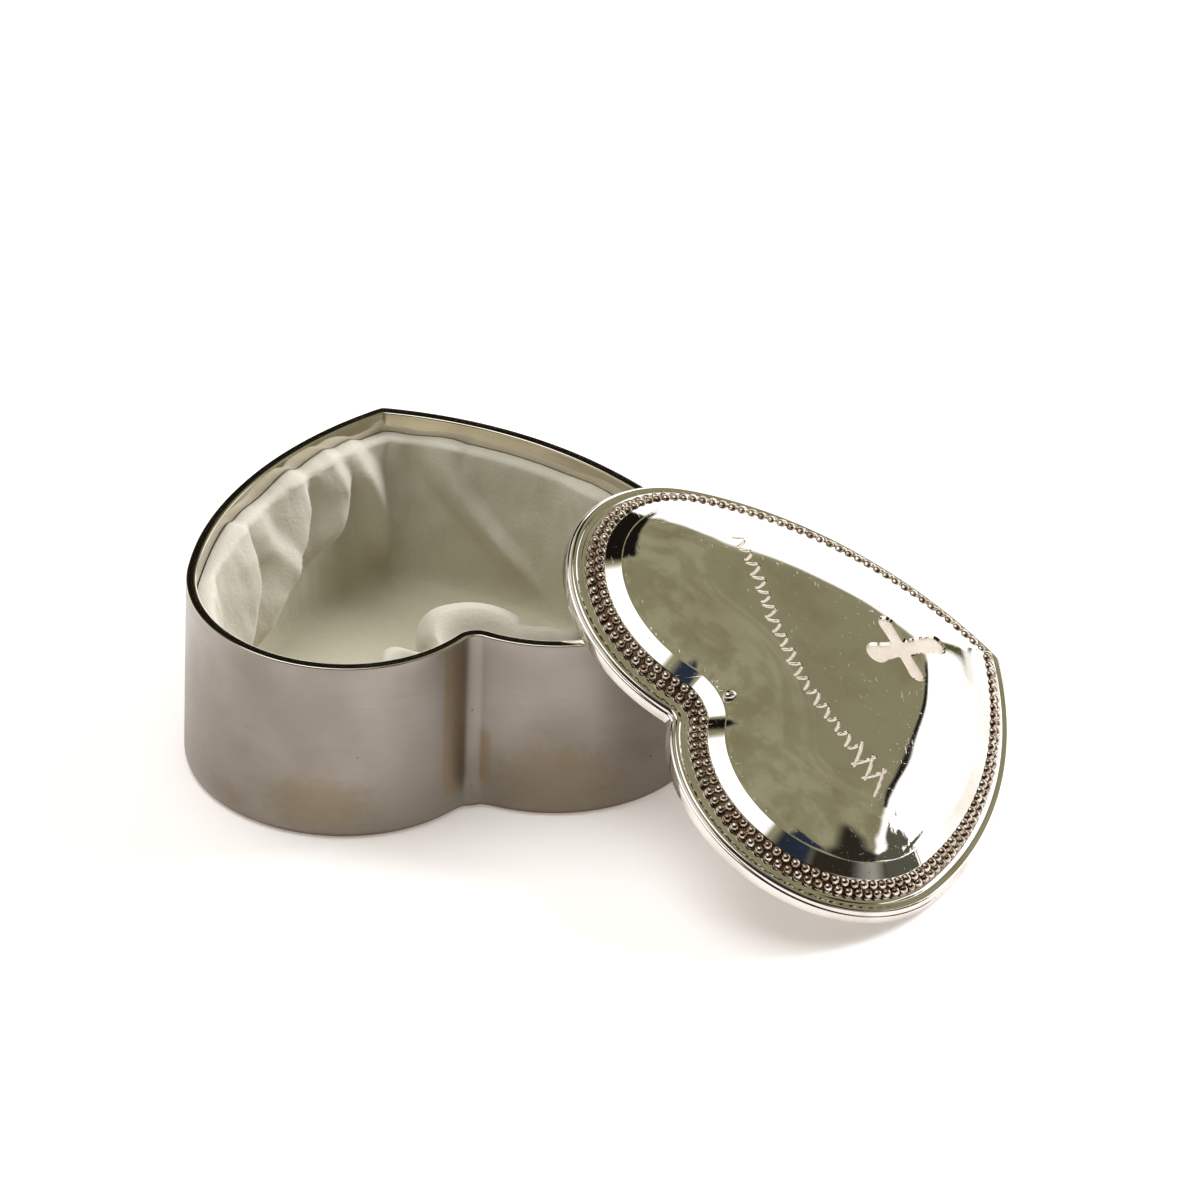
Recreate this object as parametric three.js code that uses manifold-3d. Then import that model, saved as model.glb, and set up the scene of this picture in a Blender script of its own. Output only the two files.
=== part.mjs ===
// Heart keepsake box: a plated metal box, its fabric lining, and its loose lid leaning on the rim.
// Millimetres, +Z up. The origin is the centre of the box's underside; the heart's tip points to +Y.
import * as THREE from 'three';
import { mergeVertices } from 'three/addons/utils/BufferGeometryUtils.js';
import Module from 'manifold-3d';

const wasm = await Module();
wasm.setup();

// Heart outline of the box
const BOX_WIDTH = 77.6;
const BOX_LENGTH = 67.6;
const LOBE_RADIUS = 23;
const SIDE_RADIUS = 63;
const CLEFT_RADIUS = 2.2;
const TIP_RADIUS = 1.2;
const SHARPEST = 0.15;

// Box shell
const BOX_HEIGHT = 30;
const WALL = 1.6;
const FLOOR = 1.6;
const BASE_ROUND = 1.2;
const RIM_BREAK = 0.2;

// Fabric lining, a soft tub inside the box: its rolled hem, its leaning walls and its hump over the cleft
const LINING_GAP = 0.3;
const LINING_FLOOR = 4;
const HEM_DROP = 2.8;
const HEM_RADIUS = 1;
const PUFF_LIFT = 0.25;
const PUFFS = [
  { turn: 0.5, width: 0.018, radius: 5.3 },
  { turn: 0.44, width: 0.055, radius: 3.4 },
  { turn: 0.56, width: 0.018, radius: 1.8 },
];
const LINING_LEAN = 3.6;
const LINING_FALL = 24;
const LINING_FOOT = 9;
const LINING_TUCK = 0.15;

// Lid: a skirt that fits round the box's rim, a beaded border and a domed heart
const LID_CLEARANCE = 0.2;
const SKIRT_WALL = 0.8;
const SKIRT_HEIGHT = 1.9;
const SEAT_HEIGHT = 1.2;
const SEAT_MARGIN = 0.5;
const ROLL_WIDTH = 1.8;
const ROLL_RISE = 0.5;
const OUTER_FLAT_WIDTH = 0.8;
const OUTER_FLAT_SLOPE = 28;
const BEAD_BAND_WIDTH = 2.75;
const BEAD_BAND_SLOPE = 40.5;
const INNER_FLAT_WIDTH = 3;
const INNER_FLAT_SLOPE = 27;
const CROWN_RISE = 4.2;
const CROWN_INSET = 14;
const CROWN_POWER = 3;
const LID_THICKNESS = 1.3;
const BEAD_PITCH = 1.62;
const BEAD_HEIGHT = 0.7;
const BEAD_TOP_SHARE = 0.5;

// Cross engraved near the tip, in the lid's own frame
const CROSS_LENGTH = 15.4;
const CROSS_SPAN = 12.3;
const CROSS_BAR = 3.6;
const CROSS_ARM = 2.9;
const CROSS_ARM_SHARE = 0.565;
const CROSS_CENTRE_Y = 22.8;
const CROSS_DEPTH = 0.6;

// Where the lid lies: its lobe line's centre beside the box, how it is turned, which way it leans
const LID_X = 41;
const LID_Y = -26.7;
const LID_TURN = -67.3;
const LEAN_TOWARD = -38.2;
const REST_GAP = 0.3;

// Points round each outline
const BOX_POINT_COUNT = 96;
const LINING_TURN_STEP = 1 / 60;
const PUFF_TURN_STEP = 1 / 190;
const PUFF_SPAN = 0.085;
const UNDERSIDE_POINT_COUNT = 48;
const REST_POINT_COUNT = 240;
const SHARE_INSET = 3;

const radians = THREE.MathUtils.degToRad;
const lobeX = BOX_WIDTH / 2 - LOBE_RADIUS;
const tipY = BOX_LENGTH - LOBE_RADIUS;
const originShift = -(BOX_LENGTH / 2 - LOBE_RADIUS);
const sideCentre = findSideCentre();

// The side arc touches the lobe's circle and the tip's circle from outside
function findSideCentre() {
  const lobe = new THREE.Vector2(lobeX, 0);
  const tip = new THREE.Vector2(0, tipY - TIP_RADIUS);
  const toTip = tip.clone().sub(lobe);
  const gap = toTip.length();
  const fromLobe = SIDE_RADIUS - LOBE_RADIUS;
  const fromTip = SIDE_RADIUS - TIP_RADIUS;
  const along = (fromLobe ** 2 - fromTip ** 2 + gap ** 2) / (2 * gap);
  const across = Math.sqrt(fromLobe ** 2 - along ** 2);
  toTip.normalize();
  const outward = new THREE.Vector2(-toTip.y, toTip.x);
  return lobe.addScaledVector(toTip, along).addScaledVector(outward, across);
}

// The four arcs of the right half of the heart, from the tip to the cleft, set in by `inset`
function halfArcs(inset) {
  const tipRadius = Math.max(TIP_RADIUS - inset, SHARPEST);
  const sideRadius = SIDE_RADIUS - inset;
  const lobeRadius = LOBE_RADIUS - inset;
  const cleftRadius = Math.max(CLEFT_RADIUS + inset, SHARPEST);
  const tipCentreY = sideCentre.y + Math.sqrt((sideRadius - tipRadius) ** 2 - sideCentre.x ** 2);
  const cleftCentreY = -Math.sqrt((lobeRadius + cleftRadius) ** 2 - lobeX ** 2);
  const tipAngle = Math.atan2(tipCentreY - sideCentre.y, -sideCentre.x);
  const sideAngle = Math.atan2(-sideCentre.y, lobeX - sideCentre.x);
  const cleftAngle = Math.atan2(-cleftCentreY, lobeX);
  return [
    { x: 0, y: tipCentreY, radius: tipRadius, from: Math.PI / 2, to: tipAngle },
    { x: sideCentre.x, y: sideCentre.y, radius: sideRadius, from: tipAngle, to: sideAngle },
    { x: lobeX, y: 0, radius: lobeRadius, from: sideAngle, to: cleftAngle - Math.PI },
    { x: 0, y: cleftCentreY, radius: cleftRadius, from: cleftAngle, to: Math.PI / 2 },
  ];
}

// Each arc's share of the half outline, so that points on all rings line up
const arcShares = (() => {
  const lengths = halfArcs(SHARE_INSET).map((arc) => arc.radius * Math.abs(arc.to - arc.from));
  const total = lengths.reduce((sum, length) => sum + length, 0);
  return { total, shares: lengths.map((length) => length / total) };
})();

// The point at `turn` (0 to 1, clockwise from the tip) on the outline set in by `inset`
function outlinePoint(inset, turn) {
  const wrapped = ((turn % 1) + 1) % 1;
  const right = wrapped <= 0.5;
  let rest = right ? wrapped * 2 : (1 - wrapped) * 2;
  const arcs = halfArcs(inset);
  let index = 0;
  while (index < 3 && rest > arcShares.shares[index]) {
    rest -= arcShares.shares[index];
    index += 1;
  }
  const arc = arcs[index];
  const angle = arc.from + (arc.to - arc.from) * Math.min(rest / arcShares.shares[index], 1);
  const x = Math.max(arc.x + arc.radius * Math.cos(angle), 0);
  return new THREE.Vector2(right ? x : -x, arc.y + arc.radius * Math.sin(angle));
}

function outline(inset, count, shift = 0) {
  return Array.from({ length: count }, (_, i) => outlinePoint(inset, (i + shift) / count));
}

// A closed skin built up from rings of points
class Skin {
  constructor() {
    this.points = [];
    this.faces = [];
  }

  // A ring at one height; `shift` moves its points along by a part of their spacing
  ring(inset, height, count, shift = 0) {
    return this.line(outline(inset, count, shift).map((p) => new THREE.Vector3(p.x, p.y, height)), shift);
  }

  // A ring through given points
  line(points, shift = 0) {
    const start = this.points.length;
    this.points.push(...points);
    return { start, count: points.length, shift };
  }

  at(ring, index) {
    return ring.start + (((index % ring.count) + ring.count) % ring.count);
  }

  // Joins two rings, whatever their point counts, always taking the nearer next point
  bridge(first, second) {
    let i = 0;
    let j = 0;
    const turnOf = (ring, index) => (index + ring.shift) / ring.count;
    while (i < first.count || j < second.count) {
      const stepFirst = j >= second.count
        || (i < first.count && turnOf(first, i + 1) <= turnOf(second, j + 1));
      if (stepFirst) {
        this.faces.push([this.at(first, i), this.at(second, j), this.at(first, i + 1)]);
        i += 1;
      } else {
        this.faces.push([this.at(first, i), this.at(second, j), this.at(second, j + 1)]);
        j += 1;
      }
    }
  }

  cap(ring, facesUp) {
    const flat = [];
    for (let i = 0; i < ring.count; i += 1) {
      flat.push(new THREE.Vector2(this.points[ring.start + i].x, this.points[ring.start + i].y));
    }
    THREE.ShapeUtils.triangulateShape(flat, []).forEach(([a, b, c]) => {
      const turned = THREE.ShapeUtils.area([flat[a], flat[b], flat[c]]) > 0;
      const [second, third] = turned === facesUp ? [b, c] : [c, b];
      this.faces.push([ring.start + a, ring.start + second, ring.start + third]);
    });
  }

  // One bead: its cell's corners, then a smaller, raised top
  bead(corners, height) {
    const base = corners.map((index) => this.points[index]);
    const centre = base.reduce((sum, p) => sum.add(p), new THREE.Vector3()).divideScalar(base.length);
    const acrossFirst = base[1].clone().sub(base[0]);
    const acrossSecond = base[base.length - 1].clone().sub(base[0]);
    const up = acrossFirst.cross(acrossSecond).normalize().multiplyScalar(height);
    const start = this.points.length;
    base.forEach((p) => this.points.push(p.clone().lerp(centre, BEAD_TOP_SHARE).add(up)));
    corners.forEach((corner, k) => {
      const next = (k + 1) % corners.length;
      this.faces.push([corner, corners[next], start + next], [corner, start + next, start + k]);
    });
    for (let k = 1; k < corners.length - 1; k += 1) this.faces.push([start, start + k, start + k + 1]);
  }

  geometry() {
    const geometry = new THREE.BufferGeometry();
    const coordinates = this.points.flatMap((p) => p.toArray());
    geometry.setAttribute('position', new THREE.Float32BufferAttribute(coordinates, 3));
    geometry.setIndex(this.faces.flat());
    return geometry;
  }
}

// A skin whose rings follow a closed profile from one flat end to the other
function profileSkin(profile, count) {
  const skin = new Skin();
  const rings = profile.map(([inset, height]) => skin.ring(inset, height, count));
  skin.cap(rings[0], false);
  for (let i = 1; i < rings.length; i += 1) skin.bridge(rings[i - 1], rings[i]);
  skin.cap(rings[rings.length - 1], true);
  return skin;
}

function makeBoxBody() {
  const profile = [
    [BASE_ROUND, 0],
    [BASE_ROUND * 0.3, BASE_ROUND * 0.3],
    [0, BASE_ROUND],
    [0, BOX_HEIGHT - RIM_BREAK],
    [RIM_BREAK, BOX_HEIGHT],
    [WALL - RIM_BREAK, BOX_HEIGHT],
    [WALL, BOX_HEIGHT - RIM_BREAK],
    [WALL, FLOOR],
  ];
  return profileSkin(profile, BOX_POINT_COUNT).geometry();
}

// How thick the cloth's rolled hem is at one turn: it puffs up over the cleft and along the right lobe
function hemRadius(turn) {
  const puffed = (puff) => puff.radius * Math.exp(-(((turn - puff.turn) / puff.width) ** 2));
  return PUFFS.reduce((sum, puff) => sum + puffed(puff), HEM_RADIUS);
}

// The cloth's section at one turn, as insets and heights: over the hem, down the wall and out on the floor
function liningSection(turn) {
  const radius = hemRadius(turn);
  const centre = WALL + LINING_GAP + radius;
  const crest = BOX_HEIGHT - HEM_DROP + PUFF_LIFT * (radius - HEM_RADIUS);
  const over = [0, 45, 90, 125, 150].map((angle) => [
    centre - radius * Math.cos(radians(angle)),
    crest - radius + radius * Math.sin(radians(angle)),
  ]);
  const [startInset, startHeight] = over[over.length - 1];
  const foot = startInset + LINING_LEAN;
  const down = [0.25, 0.5, 0.78, 1].map((s) => {
    const fromStart = 2 * s ** 3 - 3 * s ** 2 + 1;
    const startSlope = s ** 3 - 2 * s ** 2 + s;
    const footSlope = s ** 3 - s ** 2;
    const slopes = startSlope * LINING_FALL * LINING_TUCK + footSlope * LINING_FOOT;
    return [
      fromStart * startInset + (1 - fromStart) * foot + slopes,
      fromStart * startHeight + (1 - fromStart) * LINING_FLOOR - startSlope * LINING_FALL,
    ];
  });
  return [...over, ...down];
}

// The turns round the outline that the cloth's points stand at, closer together where it puffs up
function liningTurns() {
  const turns = [];
  let turn = 0;
  while (turn < 1 - LINING_TURN_STEP / 2) {
    turns.push(turn);
    turn += Math.abs(turn - PUFFS[0].turn) < PUFF_SPAN ? PUFF_TURN_STEP : LINING_TURN_STEP;
  }
  return turns;
}

function makeLining() {
  const skin = new Skin();
  const turns = liningTurns();
  const base = [WALL + LINING_GAP, FLOOR + LINING_GAP];
  const sections = turns.map((turn) => [base, ...liningSection(turn)]);
  const rings = sections[0].map((_, row) => skin.line(turns.map((turn, i) => {
    const [inset, height] = sections[i][row];
    const point = outlinePoint(inset, turn);
    return new THREE.Vector3(point.x, point.y, height);
  })));
  skin.cap(rings[0], false);
  for (let i = 1; i < rings.length; i += 1) skin.bridge(rings[i - 1], rings[i]);
  skin.cap(rings[rings.length - 1], true);
  return skin.geometry();
}

// The lid's section, as insets from the box's outline and heights above the skirt's lower edge
const skirtFace = -(LID_CLEARANCE + SKIRT_WALL);
const stepIn = ([inset, height], width, slope) => [
  inset + width * Math.cos(radians(slope)),
  height + width * Math.sin(radians(slope)),
];
const rollTop = [skirtFace + ROLL_WIDTH, SKIRT_HEIGHT + ROLL_RISE];
const beadFoot = stepIn(rollTop, OUTER_FLAT_WIDTH, OUTER_FLAT_SLOPE);
const beadMiddle = stepIn(beadFoot, BEAD_BAND_WIDTH / 2, BEAD_BAND_SLOPE);
const beadHead = stepIn(beadFoot, BEAD_BAND_WIDTH, BEAD_BAND_SLOPE);
const crownFoot = stepIn(beadHead, INNER_FLAT_WIDTH, INNER_FLAT_SLOPE);

function crownHeight(share) {
  return crownFoot[1] + CROWN_RISE * (1 - (1 - share) ** CROWN_POWER);
}

const crownSteps = [0.12, 0.3, 0.55, 1].map((share) => [
  crownFoot[0] + CROWN_INSET * share,
  crownHeight(share),
]);

// The hollow side: skirt, seat for the rim, then the border and crown one thickness lower
const seatInner = WALL + SEAT_MARGIN;
const undersideSteps = [
  [-LID_CLEARANCE, 0],
  [-LID_CLEARANCE, SEAT_HEIGHT],
  [seatInner, SEAT_HEIGHT],
  [beadHead[0] + LID_THICKNESS / 2, beadHead[1] - LID_THICKNESS],
  [crownFoot[0] + LID_THICKNESS / 2, crownFoot[1] - LID_THICKNESS],
  [crownSteps[1][0], crownSteps[1][1] - LID_THICKNESS],
  [crownSteps[3][0] - LID_THICKNESS, crownSteps[3][1] - LID_THICKNESS],
];

// Two rows of touching beads in brick order between the two flats of the border
function addBeadBand(skin, outerRing, innerCount) {
  const middle = skin.ring(beadMiddle[0], beadMiddle[1], innerCount * 2);
  const inner = skin.ring(beadHead[0], beadHead[1], innerCount, 0.5);
  for (let i = 0; i < innerCount; i += 1) {
    const outerLeft = skin.at(outerRing, i);
    const outerRight = skin.at(outerRing, i + 1);
    const middles = [0, 1, 2].map((k) => skin.at(middle, 2 * i + k));
    skin.bead([outerLeft, middles[0], middles[1], middles[2], outerRight], BEAD_HEIGHT);
    const uppers = [1, 2, 3].map((k) => skin.at(middle, 2 * i + k));
    skin.bead([skin.at(inner, i), skin.at(inner, i + 1), uppers[2], uppers[1], uppers[0]], BEAD_HEIGHT);
  }
  return inner;
}

function makeLidSolid() {
  const beads = Math.round((arcShares.total * 2) / BEAD_PITCH);
  const skin = new Skin();
  const undersideRing = ([inset, height]) => skin.ring(inset, height, UNDERSIDE_POINT_COUNT);
  const underside = undersideSteps.map(undersideRing).reverse();
  skin.cap(underside[0], false);
  const border = [[skirtFace, 0], [skirtFace, SKIRT_HEIGHT], rollTop, beadFoot];
  const lower = border.map(([inset, height]) => skin.ring(inset, height, beads));
  const chain = [...underside, ...lower];
  for (let i = 1; i < chain.length; i += 1) skin.bridge(chain[i - 1], chain[i]);
  const inner = addBeadBand(skin, lower[lower.length - 1], beads);
  const crown = [crownFoot, ...crownSteps].map(([inset, height]) => skin.ring(inset, height, beads, 0.5));
  const upper = [inner, ...crown];
  for (let i = 1; i < upper.length; i += 1) skin.bridge(upper[i - 1], upper[i]);
  skin.cap(crown[crown.length - 1], true);
  return toManifold(skin.geometry());
}

function toManifold(geometry) {
  geometry.deleteAttribute('normal');
  geometry.deleteAttribute('uv');
  const merged = mergeVertices(geometry, 1e-4);
  return new wasm.Manifold(new wasm.Mesh({
    numProp: 3,
    vertProperties: new Float32Array(merged.attributes.position.array),
    triVerts: new Uint32Array(merged.index.array),
  }));
}

function fromManifold(solid) {
  const mesh = solid.getMesh();
  const geometry = new THREE.BufferGeometry();
  geometry.setAttribute('position', new THREE.BufferAttribute(mesh.vertProperties, 3));
  geometry.setIndex(new THREE.BufferAttribute(mesh.triVerts, 1));
  return geometry;
}

// One bar of the cross with rounded ends, as a flat shape
function barShape(length, width) {
  const straight = length / 2 - width / 2;
  const shape = new THREE.Shape();
  shape.absarc(0, straight, width / 2, 0, Math.PI);
  shape.absarc(0, -straight, width / 2, Math.PI, 2 * Math.PI);
  shape.closePath();
  return shape;
}

// The cutter for the engraved cross; its foot points to the heart's tip
function makeCrossCutter() {
  const depth = 10;
  const extrude = { depth, bevelEnabled: false, curveSegments: 6 };
  const upright = toManifold(new THREE.ExtrudeGeometry(barShape(CROSS_LENGTH, CROSS_BAR), extrude));
  const arms = new THREE.ExtrudeGeometry(barShape(CROSS_SPAN, CROSS_ARM), extrude);
  arms.rotateZ(Math.PI / 2);
  arms.translate(0, CROSS_LENGTH * (0.5 - CROSS_ARM_SHARE), 0);
  return upright.add(toManifold(arms));
}

// The crown's height and slope on the heart's centre line, from the inset that the cross's centre has
function crownAtCross() {
  const tipInset = (y) => {
    let low = 0;
    let high = LOBE_RADIUS;
    for (let i = 0; i < 40; i += 1) {
      const middle = (low + high) / 2;
      if (outlinePoint(middle, 0).y > y) low = middle;
      else high = middle;
    }
    return low;
  };
  const heightAt = (y) => crownHeight(Math.min(Math.max((tipInset(y) - crownFoot[0]) / CROWN_INSET, 0), 1));
  const reach = CROSS_LENGTH / 2 - CROSS_BAR;
  const drop = heightAt(CROSS_CENTRE_Y - reach) - heightAt(CROSS_CENTRE_Y + reach);
  return { height: heightAt(CROSS_CENTRE_Y), slope: Math.atan2(drop, 2 * reach) };
}

function makeLid() {
  const crown = crownAtCross();
  const cutter = makeCrossCutter()
    .rotate([-THREE.MathUtils.radToDeg(crown.slope), 0, 0])
    .translate([0, CROSS_CENTRE_Y, crown.height - CROSS_DEPTH]);
  return fromManifold(makeLidSolid().subtract(cutter));
}

// Height of the lid's hollow side at an inset, for finding where the lid comes to rest
function undersideHeight(inset) {
  if (inset < -LID_CLEARANCE) return 0;
  let index = 2;
  while (index < undersideSteps.length - 1 && undersideSteps[index][0] < inset) index += 1;
  const [fromInset, fromHeight] = undersideSteps[index - 1];
  const [toInset, toHeight] = undersideSteps[index];
  const share = Math.min(Math.max((inset - fromInset) / (toInset - fromInset), 0), 1);
  return fromHeight + (toHeight - fromHeight) * share;
}

// Signed inset of a flat point from the box's outline: positive inside
function insetOf(point, polygon) {
  let nearest = Infinity;
  let inside = false;
  for (let i = 0; i < polygon.length; i += 1) {
    const a = polygon[i];
    const b = polygon[(i + 1) % polygon.length];
    const edge = b.clone().sub(a);
    const along = Math.min(Math.max(point.clone().sub(a).dot(edge) / edge.lengthSq(), 0), 1);
    nearest = Math.min(nearest, point.distanceTo(a.clone().addScaledVector(edge, along)));
    const crosses = a.y > point.y !== b.y > point.y;
    if (crosses && point.x < a.x + ((point.y - a.y) / edge.y) * edge.x) inside = !inside;
  }
  return inside ? nearest : -nearest;
}

// The lid's place for one tilt: turned, leaned over, and lowered until its skirt meets the floor
function lidPlace(tilt) {
  const lean = radians(LEAN_TOWARD);
  const axis = new THREE.Vector3(-Math.sin(lean), Math.cos(lean), 0);
  const turn = new THREE.Quaternion().setFromAxisAngle(new THREE.Vector3(0, 0, 1), radians(LID_TURN));
  const rotation = new THREE.Quaternion().setFromAxisAngle(axis, tilt).multiply(turn);
  const edge = outline(skirtFace, REST_POINT_COUNT)
    .map((p) => new THREE.Vector3(p.x, p.y, 0).applyQuaternion(rotation));
  const lowest = Math.min(...edge.map((p) => p.z));
  return { rotation, position: new THREE.Vector3(LID_X, LID_Y, -lowest) };
}

// Least gap between the box's rim and the lid's hollow side for one tilt
function rimGap(place, rim, polygon) {
  const back = place.rotation.clone().invert();
  let gap = Infinity;
  rim.forEach((point) => {
    const local = point.clone().sub(place.position).applyQuaternion(back);
    const inset = insetOf(new THREE.Vector2(local.x, local.y), polygon);
    if (inset > skirtFace) gap = Math.min(gap, undersideHeight(inset) - local.z);
  });
  return gap;
}

// The least tilt at which the lid's hollow side clears the box's rim by the rest gap
function restLid() {
  const polygon = outline(0, REST_POINT_COUNT);
  const rim = [0, WALL].flatMap((inset) => outline(inset, REST_POINT_COUNT));
  const rimPoints = rim.filter((p) => p.x > 0).map((p) => new THREE.Vector3(p.x, p.y, BOX_HEIGHT));
  let low = radians(2);
  let high = radians(60);
  for (let i = 0; i < 24; i += 1) {
    const middle = (low + high) / 2;
    if (rimGap(lidPlace(middle), rimPoints, polygon) < REST_GAP) low = middle;
    else high = middle;
  }
  return lidPlace(high);
}

const plate = new THREE.MeshStandardMaterial({ color: 0xb4aca4, roughness: 0.32, metalness: 1 });
const polish = new THREE.MeshStandardMaterial({ color: 0xc9c8c2, roughness: 0.08, metalness: 1 });
const fabric = new THREE.MeshStandardMaterial({ color: 0xc6c5b6, roughness: 0.95, metalness: 0 });

function addPiece(group, name, geometry, material) {
  const mesh = new THREE.Mesh(geometry, material);
  mesh.name = name;
  group.add(mesh);
  return mesh;
}

// Everything is built about the middle of the lobes, then shifted so that the base is centred
const keepsakeBox = new THREE.Group();
keepsakeBox.position.y = originShift;
addPiece(keepsakeBox, 'box_body', makeBoxBody(), plate);
addPiece(keepsakeBox, 'lining', makeLining(), fabric);
const lid = addPiece(keepsakeBox, 'lid', makeLid(), polish);
const rest = restLid();
lid.quaternion.copy(rest.rotation);
lid.position.copy(rest.position);

export default keepsakeBox;
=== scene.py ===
import math

import bpy
import numpy as np
from mathutils import Matrix, Quaternion, Vector, geometry, noise


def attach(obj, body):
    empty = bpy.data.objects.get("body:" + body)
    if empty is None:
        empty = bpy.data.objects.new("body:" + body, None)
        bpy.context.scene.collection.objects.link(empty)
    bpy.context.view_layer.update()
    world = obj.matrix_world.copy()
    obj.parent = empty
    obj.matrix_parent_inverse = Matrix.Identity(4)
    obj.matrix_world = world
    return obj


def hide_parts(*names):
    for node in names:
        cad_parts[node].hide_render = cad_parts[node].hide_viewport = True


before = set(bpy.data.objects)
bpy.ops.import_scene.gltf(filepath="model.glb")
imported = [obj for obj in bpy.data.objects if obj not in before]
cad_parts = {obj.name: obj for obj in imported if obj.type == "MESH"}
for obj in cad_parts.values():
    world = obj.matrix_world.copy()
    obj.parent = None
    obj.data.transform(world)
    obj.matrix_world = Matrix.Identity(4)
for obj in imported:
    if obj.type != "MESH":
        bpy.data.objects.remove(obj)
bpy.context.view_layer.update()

# The photographer's table: a pale sheet of matt paper with the box standing on it.
# Two large soft lamps and the terrace round it light it, and the sheet glows a little: painted light that
# lifts the shadows on it.
mm = 0.001


def linear(colour):
    """An sRGB hex colour as the linear values that a shader takes."""
    parts = [int(colour[i:i + 2], 16) / 255 for i in (1, 3, 5)]
    curve = [p / 12.92 if p <= 0.04045 else ((p + 0.055) / 1.055) ** 2.4 for p in parts]
    return (*curve, 1.0)


def feed(node, inputs):
    """Sets a node's inputs by name or number, and links those whose value is another node's output."""
    for name, value in inputs.items():
        if isinstance(value, bpy.types.NodeSocket):
            node.id_data.links.new(value, node.inputs[name])
        else:
            node.inputs[name].default_value = value


def new_material(name):
    """A bare material, its node tree and its surface shader."""
    material = bpy.data.materials.new(name)
    material.use_nodes = True
    tree = material.node_tree
    return material, tree, tree.nodes["Principled BSDF"]


def object_from(name, points, faces, materials):
    """A smooth mesh object from points in metres, with its place in its mesh."""
    mesh = bpy.data.meshes.new(name)
    mesh.from_pydata([tuple(p) for p in points], [], faces)
    for material in materials:
        mesh.materials.append(material)
    mesh.shade_smooth()
    made = bpy.data.objects.new(name, mesh)
    bpy.context.collection.objects.link(made)
    return made


sweep_half = 4.0
paper, _, paper_shader = new_material("matt_paper")
# The sheet's emission is painted light: a faint warm glow that lifts the shadows on the paper.
feed(paper_shader, {
    "Base Color": linear("#f4f2f0"), "Roughness": 0.9, "Specular IOR Level": 0.1,
    "Emission Color": linear("#fff6ef"), "Emission Strength": 0.32,
})
sweep_corners = [(-1, -1, 0), (1, -1, 0), (1, 1, 0), (-1, 1, 0)]
sweep = object_from("paper_sweep", [Vector(c) * sweep_half for c in sweep_corners], [(0, 1, 2, 3)], [paper])

# The camera: a long lens that stands well back, to the left of the middle and a third of the way up.
# Its place and angles were found from the outlines of the box and the lid; colours are shown as they are.
photo_side = 1200
lens_in_photo_sides = 20542 / photo_side
camera_turn, camera_lift, camera_roll = math.radians(-13.25), math.radians(33.69), math.radians(1.31)
camera_aside, camera_below, camera_distance = -22.7 * mm, -20.6 * mm, 3024.8 * mm
lobe_line_y = -10.8 * mm
towards_camera = Vector((
    math.sin(camera_turn) * math.cos(camera_lift),
    -math.cos(camera_turn) * math.cos(camera_lift),
    math.sin(camera_lift),
))
level_right = (-towards_camera).cross(Vector((0, 0, 1))).normalized()
level_up = level_right.cross(-towards_camera)
right = level_right * math.cos(camera_roll) + level_up * math.sin(camera_roll)
up = level_up * math.cos(camera_roll) - level_right * math.sin(camera_roll)
lens = bpy.data.cameras.new("long_lens")
lens.sensor_width = 36
lens.lens = lens.sensor_width * lens_in_photo_sides
lens.clip_start = 0.1
lens.clip_end = 50
camera = bpy.data.objects.new("camera", lens)
bpy.context.collection.objects.link(camera)
place = Matrix((right, up, towards_camera)).transposed().to_4x4()
place.translation = (
    towards_camera * camera_distance - right * camera_aside - up * camera_below + Vector((0, lobe_line_y, 0))
)
camera.matrix_world = place
bpy.context.scene.camera = camera
bpy.context.scene.view_settings.view_transform = "Standard"

# A large soft lamp over the right shoulder, and beside it a fill; the plate doesn't mirror either of them.
# Each has its stand in metres, its width in metres and its power in watts.
lamp_list = (
    ("soft_key", (2.1, 0.5, 1.7), 1.3, 66.0),
    ("soft_fill", (-0.5, 0.5, 2.6), 2.4, 27.0),
)
for lamp_name, stand, width, power in lamp_list:
    lamp = bpy.data.lights.new(lamp_name, "AREA")
    lamp.shape = "DISK"
    lamp.size = width
    lamp.energy = power
    lamp.color = linear("#f6f5ff")[:3]
    lamp_object = bpy.data.objects.new(lamp_name, lamp)
    bpy.context.collection.objects.link(lamp_object)
    lamp_object.location = stand
    lamp_object.rotation_euler = (-lamp_object.location).to_track_quat("-Z", "Y").to_euler()
    lamp_object.visible_glossy = False

# What the plate mirrors: an olive canopy overhead, bright sky under its edge, a dark post and dark trees.
# Places in it are a bearing, clockwise from straight back, and a height above the horizon, in degrees.
room = bpy.data.worlds.new("covered_terrace")
bpy.context.scene.world = room
room.use_nodes = True
tree = room.node_tree
soft_edges = {"interpolation_type": "SMOOTHSTEP"}


def add_node(tree, kind, inputs, output=0, **settings):
    """Adds one node with its settings, sets or links its inputs, and gives one of its outputs."""
    node = tree.nodes.new(kind)
    for name, value in settings.items():
        setattr(node, name, value)
    feed(node, inputs)
    return node.outputs[output]


straight = add_node(tree, "ShaderNodeTexCoord", {}, "Generated")
shimmer = add_node(tree, "ShaderNodeTexNoise", {
    "Vector": straight, "Scale": 7.0, "Detail": 2.0,
}, "Color")
shimmer = add_node(tree, "ShaderNodeVectorMath", {0: shimmer, 1: (0.5, 0.5, 0.5)}, operation="SUBTRACT")
shimmer = add_node(tree, "ShaderNodeVectorMath", {0: shimmer, "Scale": 0.05}, operation="SCALE")
looking = add_node(tree, "ShaderNodeVectorMath", {0: straight, 1: shimmer}, operation="ADD")
looking = add_node(tree, "ShaderNodeVectorMath", {0: looking}, operation="NORMALIZE")
sideways, backwards, upwards = add_node(tree, "ShaderNodeSeparateXYZ", {0: looking}).node.outputs
bearing = add_node(tree, "ShaderNodeMath", {0: sideways, 1: backwards}, operation="ARCTAN2")
bearing = add_node(tree, "ShaderNodeMath", {0: bearing}, operation="DEGREES")
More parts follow.
